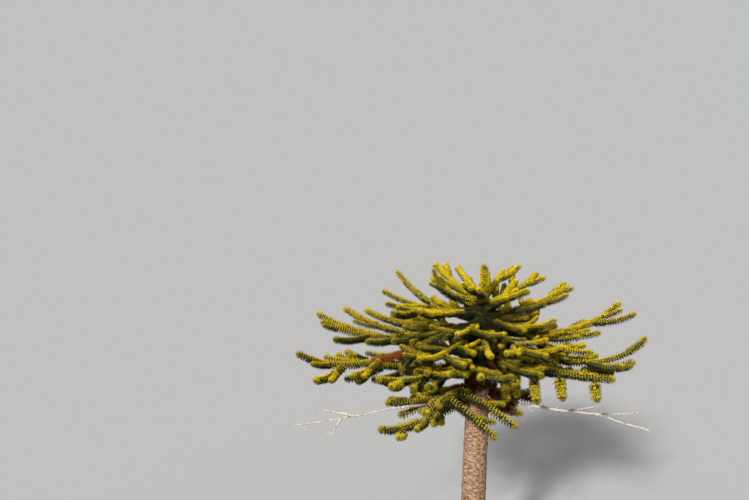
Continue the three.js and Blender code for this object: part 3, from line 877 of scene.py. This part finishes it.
# The newer outer share of each shoot, and each bud, gets this much more light: partly the brighter colour of
# young leaves, partly painted light. A bud's heart loses it again as painted shade.
YOUNG_SHARE = 0.5
YOUNG_AND_LIT_BONUS = 0.35
STEEP = 0.62
STEEP_LIGHT = 0.42
# Painted shade: the light taken from leaves with other shoots over them, and from the dimmed shoots.
COVERED = 0.5
DIMMED = 0.7
LIGHT_VARIES = 0.2
MISSED_SHARE = 0.06
MISSED_LIGHT = 0.8
# The light at which each tint begins, brightest first: the tints are lit and shaded copies of the leaf
# colour, from a painted highlight down to painted shade.
TINT_ABOVE = {"sunlit": 0.85, "young": 0.25, "grown": -0.1, "shaded": -math.inf}
# Light added to or taken from all the leaves of a whorl: a little painted shade where it is below zero.
OPENNESS = {"top": 0.0, "upper": 0.0, "middle": -0.06, "broad": -0.02, "low": 0.0}
SHADE_FROM = 60
SHADE_TO = 600
SHADE_MARGIN = 25
WITHERED = {"middle_4": (560, 930), "low_3": (0, 400), "low_6": (0, 260), "low_7": (0, 300)}
WITHERED_SPACING = 0.4
WITHERED_ENDS_SHORT = 2
# The leaves on the bare feet of boughs and round the trunk at the hubs take darker tints, painted shade for
# the inside of the crown, or wither.
INNER_TINT = {"top": "grown", "upper": "shaded", "middle": "shaded", "broad": "shaded", "low": "withered"}
INNER_WITHERED = ("broad_7", "broad_10")
INNER_SHARE = 1.15
INNER_SPACING = 0.34
INNER_SPREAD = 50
TRUNK_LEAVES = [
    {"from": 2300, "to": 2430, "tier": "broad", "tint": "withered", "spread": 40},
    {"from": 2430, "to": 2560, "tier": "broad", "tint": "shaded", "spread": 40},
    {"from": 2560, "to": 2900, "tier": "middle", "tint": "shaded", "spread": 40},
    {"from": 2900, "to": 3020, "tier": "upper", "tint": "shaded", "spread": 34},
    {"from": 3021, "to": 3060, "tier": "upper", "tint": "shaded", "spread": 78},
]
TRUNK_LEAF_LENGTH = 60
TRUNK_LEAF_ROWS_APART = 14
TRUNK_LEAVES_APART = 12
TRUNK_LEAF_ANGLE_VARIES = 9
TRUNK_LEAF_LENGTH_VARIES = 0.15
THINNEST_CLOTHED = 30
LEAF_SEED = 7
MOTTLE_SIZE = 22
# Tints of each whorl: sunlit is a painted highlight, the second tint partly the colour of young leaves and
# partly painted light, grown a painted middle tone and shaded painted shade. The low whorl's are painted
# lighter against the shade of the crown above it. Withered is the red-brown of dead leaves.
TINTS = {
    "sunlit": {"top": 0xC9AF12, "upper": 0xC3A913, "middle": 0xBDA315, "broad": 0xB59B19, "low": 0xBCA221},
    "young": {"top": 0xA9930F, "upper": 0xA28C11, "middle": 0x9C8714, "broad": 0x9C8817, "low": 0xA28E1F},
    "grown": {"top": 0x7D7011, "upper": 0x796D11, "middle": 0x766A12, "broad": 0x756B14, "low": 0x82751B},
    "shaded": {"top": 0x2E300A, "upper": 0x282A09, "middle": 0x212307, "broad": 0x222508, "low": 0x38350F},
    "withered": {"top": 0x6E4A2C, "upper": 0x6E4A2C, "middle": 0x84430F, "broad": 0x58301A, "low": 0x5E3218},
}


def leaf_shape():
    """One closed leaf that points up, its upper side to +Y, with length, width and thickness of 1."""
    bm = bmesh.new()
    bmesh.ops.create_uvsphere(bm, u_segments=4, v_segments=2, radius=0.5)
    bmesh.ops.translate(bm, verts=bm.verts, vec=(0, 0, 0.5))
    for vert in bm.verts:
        if 0.1 < vert.co.z < 0.9:
            vert.co.z = WIDEST_AT
        vert.co.y *= 2 * UPPER_SHARE if vert.co.y > 0 else 2 * (1 - UPPER_SHARE)
    bmesh.ops.recalc_face_normals(bm, faces=bm.faces)
    mesh = bpy.data.meshes.new("leaf")
    bm.to_mesh(mesh)
    bm.free()
    points = np.array([vert.co for vert in mesh.vertices])
    faces = [list(face.vertices) for face in mesh.polygons]
    bpy.data.meshes.remove(mesh)
    return points, faces


LEAF_POINTS, LEAF_FACES = leaf_shape()


def turned_frames(run, distances):
    """Directions and two square sides at places on a run, turned as little as possible on the way."""
    directions = run.direction(np.arange(len(run.points)) * run.step)
    side = np.cross([0, 0, 1], directions[0])
    if np.linalg.norm(side) < UPRIGHT_SIDE:
        side = np.array([1.0, 0, 0])
    sides = []
    for direction in directions:
        side = side - direction * side.dot(direction)
        side = side / np.linalg.norm(side)
        sides.append(side)
    along = run.direction(distances)
    side = Run.between(np.array(sides), run.step, distances)
    side -= along * (side * along).sum(1, keepdims=True)
    side /= np.linalg.norm(side, axis=1, keepdims=True)
    return along, side, np.cross(along, side)


def leaves_at(run, distances, turns, degrees, lengths, seat):
    """Leaves by their turn round a run, angle to it and length. The last entry is how much each faces up."""
    along, side, across = turned_frames(run, distances)
    out = side * np.cos(turns)[:, None] + across * np.sin(turns)[:, None]
    angle = np.radians(degrees)[:, None]
    ahead = out * np.sin(angle) + along * np.cos(angle)
    upper = along * np.sin(angle) - out * np.cos(angle)
    base = run.at(distances) + out * np.reshape(seat, (-1, 1))
    return base, np.cross(upper, ahead), upper, ahead, lengths, out[:, 2]


def clothe(run, start, end, leafy, seat, spacing, spread, chance):
    """The leaves of a stretch of a run, in close turns of a spiral."""
    count = max(2, round((end - start) / (spacing * leafy) * LEAVES_PER_TURN))
    distances = start + (np.arange(count) + 0.5) / count * (end - start)
    turns = np.arange(count) * math.tau / LEAVES_PER_TURN + chance.uniform(0, math.tau)
    turns += chance.uniform(-TURN_JITTER, TURN_JITTER, count)
    degrees = spread + chance.uniform(-ANGLE_VARIES, ANGLE_VARIES, count)
    year = 1 + YEAR_SWELL * np.cos((run.length - distances) / YEAR_LENGTH * math.tau)
    taper = 1 + (TIP_SHARE - 1) * distances / run.length
    full = (PROUD_SHARE * leafy * taper - seat) / math.sin(math.radians(spread))
    lengths = full * year / (1 + YEAR_SWELL) * (1 + chance.uniform(-LENGTH_VARIES, LENGTH_VARIES, count))
    return leaves_at(run, distances, turns, degrees, lengths, np.full(count, seat))


def bud(run, leafy, chance):
    """The leaves that close over the end of a run, their tips on a dome, from spread to straight ahead."""
    share = (np.arange(BUD_LEAVES) + 0.5) / BUD_LEAVES
    rise = np.arcsin(share)
    lengths = leafy * (BUD_LONGEST - BUD_SHORTENING * share)
    seat = BUD_SEAT_SHARE * SEAT_SHARE * leafy * (1 - share)
    degrees = np.degrees(np.arcsin((leafy * np.cos(rise) - seat) / lengths))
    tips = run.length - leafy * (1 - share)
    distances = np.clip(tips - lengths * np.cos(np.radians(degrees)), 0, None)
    turns = np.arange(BUD_LEAVES) * GOLDEN_ANGLE + chance.uniform(0, math.tau)
    return leaves_at(run, distances, turns, degrees, lengths, seat)


def leaf_mesh(name, leaves):
    """One mesh of many leaves, each the leaf shape in its own frame."""
    base, width, upper, ahead, length, _ = leaves
    points = (
        base[:, None]
        + LEAF_POINTS[None, :, 0, None] * (width * (LEAF_WIDTH_SHARE * length)[:, None])[:, None]
        + LEAF_POINTS[None, :, 1, None] * (upper * (LEAF_THICKNESS_SHARE * length)[:, None])[:, None]
        + LEAF_POINTS[None, :, 2, None] * (ahead * length[:, None])[:, None]
    )
    count = len(base)
    corners = np.array([corner for face in LEAF_FACES for corner in face])
    totals = np.tile([len(face) for face in LEAF_FACES], count)
    loops = (corners[None] + np.arange(count)[:, None] * len(LEAF_POINTS)).ravel()
    mesh = bpy.data.meshes.new(name)
    mesh.vertices.add(count * len(LEAF_POINTS))
    mesh.vertices.foreach_set("co", points.astype(np.float32).ravel())
    mesh.loops.add(len(loops))
    mesh.loops.foreach_set("vertex_index", loops.astype(np.int32))
    mesh.polygons.add(len(totals))
    mesh.polygons.foreach_set("loop_start", (np.cumsum(totals) - totals).astype(np.int32))
    mesh.update(calc_edges=True)
    return mesh


def leathery(name, colour):
    """Living leaf skin: waxy, a little glossy, and mottled in tone from leaf to leaf."""
    material, tree, place = new_material(name)
    mottle = add_node(
        tree, "ShaderNodeTexNoise", {"Vector": place, "Scale": 1 / (MOTTLE_SIZE * MM), "Detail": 2.0},
    )
    shade = add_node(
        tree, "ShaderNodeMapRange",
        {"Value": mottle.outputs["Fac"], "From Min": 0.3, "From Max": 0.7, "To Min": 0.7, "To Max": 1.2},
    )
    tone = add_node(
        tree, "ShaderNodeMix", {0: 1.0, 6: linear(colour), 7: shade.outputs[0]},
        data_type="RGBA", blend_type="MULTIPLY",
    )
    shader = add_node(
        tree, "ShaderNodeBsdfPrincipled",
        {"Base Color": tone.outputs[2], "Roughness": 0.48, "IOR": 1.45, "Specular IOR Level": 0.12},
    )
    add_node(tree, "ShaderNodeOutputMaterial", {"Surface": shader.outputs[0]})
    return material


def shaded_places(run):
    """For each point of a run, 1 where other shoots stand over it and 0 under the open sky."""
    spots = np.vstack([points for _, points, _ in placed])
    reach = np.concatenate([radii for _, _, radii in placed]) + SHADE_MARGIN
    covered = []
    for point in run.points:
        over = spots - point
        near = np.hypot(over[:, 0], over[:, 1]) < reach
        covered.append((near & (over[:, 2] > SHADE_FROM) & (over[:, 2] < SHADE_TO)).any())
    return np.array(covered, float)


sprays = {}


def add_leaves(tier, tint, leaves, chosen=slice(None)):
    """Notes the chosen leaves for the piece of a tier and a tint."""
    sprays.setdefault((tier, tint), []).append([part[chosen] for part in leaves])


def deal_by_light(tier, leaves, light, living):
    """Deals the living leaves out to the tints by the light that each gets, brightest first."""
    below = math.inf
    for tint, above in TINT_ABOVE.items():
        add_leaves(tier, tint, leaves, (light > above) & (light <= below) & living)
        below = above


chance = np.random.default_rng(LEAF_SEED)
for shoot in shoots:
    run = shoot["run"]
    leafy = shoot["leafy"]
    owner = shoot["bough"]["owner"]
    tier = shoot["bough"]["name"]
    seat = SEAT_SHARE * leafy
    end = run.length - BUD_REACH * BUD_SHARE * leafy
    steep = abs(run.direction(run.length / 2)[2]) > STEEP
    spacing = STEEP_SPACING_SHARE if steep else TURN_SPACING_SHARE
    spread = STEEP_SPREAD_ANGLE if steep else SPREAD_ANGLE
    leaves = clothe(run, shoot["bare"], end, leafy, seat, spacing, spread, chance)
    count = len(leaves[0])
    distances = np.linspace(shoot["bare"], end, count)
    # Painted light: a leaf's tint gets lighter as it faces up and on the newer outer half, and darker, as
    # painted shade, where other shoots stand over it or its shoot is dimmed.
    cover = shaded_places(run)
    open_side = np.where(np.abs(run.direction(distances)[:, 2]) > STEEP, STEEP_LIGHT, leaves[-1])
    shade = np.interp(distances, np.arange(len(cover)) * run.step, cover)
    general = OPENNESS[tier] - DIMMED * shoot["dim"]
    light = general + open_side - (0 if steep else COVERED) * shade
    light += YOUNG_AND_LIT_BONUS * (distances > (1 - YOUNG_SHARE) * run.length)
    light += chance.uniform(-LIGHT_VARIES, LIGHT_VARIES, count)
    light -= MISSED_LIGHT * (chance.uniform(0, 1, count) < MISSED_SHARE)
    low, high = WITHERED.get(owner, (0, 0))
    withered = (distances > low) & (distances < high)
    withered &= run is shoot["bough"]["axis"] or tier == "low"
    add_leaves(tier, "withered", leaves, withered)
    deal_by_light(tier, leaves, light, ~withered)
    # A bud's leaves are painted a little lighter, and those at its heart darker, as painted shade.
    closing = bud(run, BUD_SHARE * leafy, chance)
    light = general + (STEEP_LIGHT if steep else closing[-1] + YOUNG_AND_LIT_BONUS) - COVERED * cover[-1]
    light += BUD_BONUS
    light -= YOUNG_AND_LIT_BONUS * (np.arange(BUD_LEAVES) > BUD_HEART * BUD_LEAVES)
    light += chance.uniform(-LIGHT_VARIES, LIGHT_VARIES, BUD_LEAVES)
    deal_by_light(tier, closing, np.maximum(light, 0), True)
for bough in boughs:
    owner = bough["owner"]
    tier = bough["name"]
    leafy = INNER_SHARE * bough["leafy"]
    inner = clothe(bough["axis"], 0, bough["bare"], leafy, BOUGH_RADIUS, INNER_SPACING, INNER_SPREAD, chance)
    add_leaves(tier, "withered" if owner in INNER_WITHERED else INNER_TINT[tier], inner)
    if owner in WITHERED:
        leafy = bough["leafy"]
        seat = SEAT_SHARE * leafy
        low = max(bough["bare"], WITHERED[owner][0])
        high = min(bough["axis"].length - WITHERED_ENDS_SHORT * leafy, WITHERED[owner][1])
        dry = clothe(bough["axis"], low, high, leafy, seat, WITHERED_SPACING, SPREAD_ANGLE, chance)
        add_leaves(tier, "withered", dry)
for stretch in TRUNK_LEAVES:
    low = stretch["from"]
    high = stretch["to"]
    radius = max(THINNEST_CLOTHED, trunk_radius((low + high) / 2))
    line = Run([(trunk_centre(z), 0, z) for z in (low, (low + high) / 2, high)])
    count = round((high - low) / TRUNK_LEAF_ROWS_APART * radius * math.tau / TRUNK_LEAVES_APART)
    distances = (np.arange(count) + 0.5) / count * (high - low)
    turns = np.arange(count) * GOLDEN_ANGLE
    varies = chance.uniform(-TRUNK_LEAF_ANGLE_VARIES, TRUNK_LEAF_ANGLE_VARIES, count)
    degrees = stretch["spread"] + varies
    varies = chance.uniform(-TRUNK_LEAF_LENGTH_VARIES, TRUNK_LEAF_LENGTH_VARIES, count)
    lengths = TRUNK_LEAF_LENGTH * (1 + varies)
    seat = np.where(low + distances < TRUNK_HEIGHT, trunk_radius(low + distances), STEM_RADIUS)
    leaves = leaves_at(line, distances, turns, degrees, lengths, seat)
    add_leaves(stretch["tier"], stretch["tint"], leaves)
for whorl in WHORLS:
    tier = whorl["name"]
    nodes = list(dict.fromkeys(f"foliage_{bough['owner']}" for bough in boughs if bough["name"] == tier))
    for tint in TINTS:
        leaves = [np.concatenate(parts) for parts in zip(*sprays[tier, tint])]
        if len(leaves[0]) == 0:
            continue
        name = f"leaves_{tier}_{tint}"
        skin = leathery(f"{tint}_leaf_{tier}", TINTS[tint][tier])
        add_piece(name, leaf_mesh(name, leaves), skin, nodes)

# Floor: a plain pale ground for the part to stand on, matt as dry sand, under a plain pale sky that
# lights the crown evenly from all sides.
FLOOR_SIZE = 1000
FLOOR_COLOUR = 0xA2A1A0
SKY_COLOUR = 0xDDDFE0
SKY_STRENGTH = 0.72
bpy.ops.mesh.primitive_plane_add(size=FLOOR_SIZE, location=(0, 0, 0))
floor = bpy.context.object
floor.name = "floor"
material, tree, _ = new_material("plain_floor")
shader = add_node(
    tree, "ShaderNodeBsdfPrincipled",
    {"Base Color": linear(FLOOR_COLOUR), "Roughness": 1.0, "Specular IOR Level": 0.0},
)
add_node(tree, "ShaderNodeOutputMaterial", {"Surface": shader.outputs[0]})
floor.data.materials.append(material)
world = bpy.data.worlds.new("pale_studio")
world.use_nodes = True
world.node_tree.nodes["Background"].inputs["Color"].default_value = linear(SKY_COLOUR)
world.node_tree.nodes["Background"].inputs["Strength"].default_value = SKY_STRENGTH
bpy.context.scene.world = world
bpy.context.scene.view_settings.view_transform = "Standard"

# Light: one key behind the camera on the left, as the sun stands in the photograph. It is a little
# softer than the sun, and shines along its own direction wherever it is placed.
KEY_FROM = Vector((-0.45, -0.8, 0.65))
KEY_STRENGTH = 5.2
KEY_SOFTNESS_DEGREES = 7
KEY_DISTANCE = 8
key = bpy.data.lights.new("key", "SUN")
key.energy = KEY_STRENGTH
key.angle = math.radians(KEY_SOFTNESS_DEGREES)
lamp = bpy.data.objects.new("key", key)
lamp.rotation_euler = (-KEY_FROM).to_track_quat("-Z", "Y").to_euler()
lamp.location = KEY_DISTANCE * KEY_FROM
bpy.context.collection.objects.link(lamp)

# Camera: it stands before the tree, a little to the left and above its tip, and looks down on the
# crown. Its place is in metres, and its lens gives the view of the photograph.
CAMERA_PLACE = (-0.885, -5.236, 4.64)
PHOTO_WIDTH_PX = 749
FOCAL_PX = 650
DROP_PX = 140
SENSOR_MM = 36
view = bpy.data.cameras.new("camera")
view.sensor_width = SENSOR_MM
view.lens = SENSOR_MM * FOCAL_PX / PHOTO_WIDTH_PX
camera = bpy.data.objects.new("camera", view)
camera.location = CAMERA_PLACE
camera.rotation_euler = (math.pi / 2 - math.atan(DROP_PX / FOCAL_PX), 0, 0)
bpy.context.collection.objects.link(camera)
bpy.context.scene.camera = camera
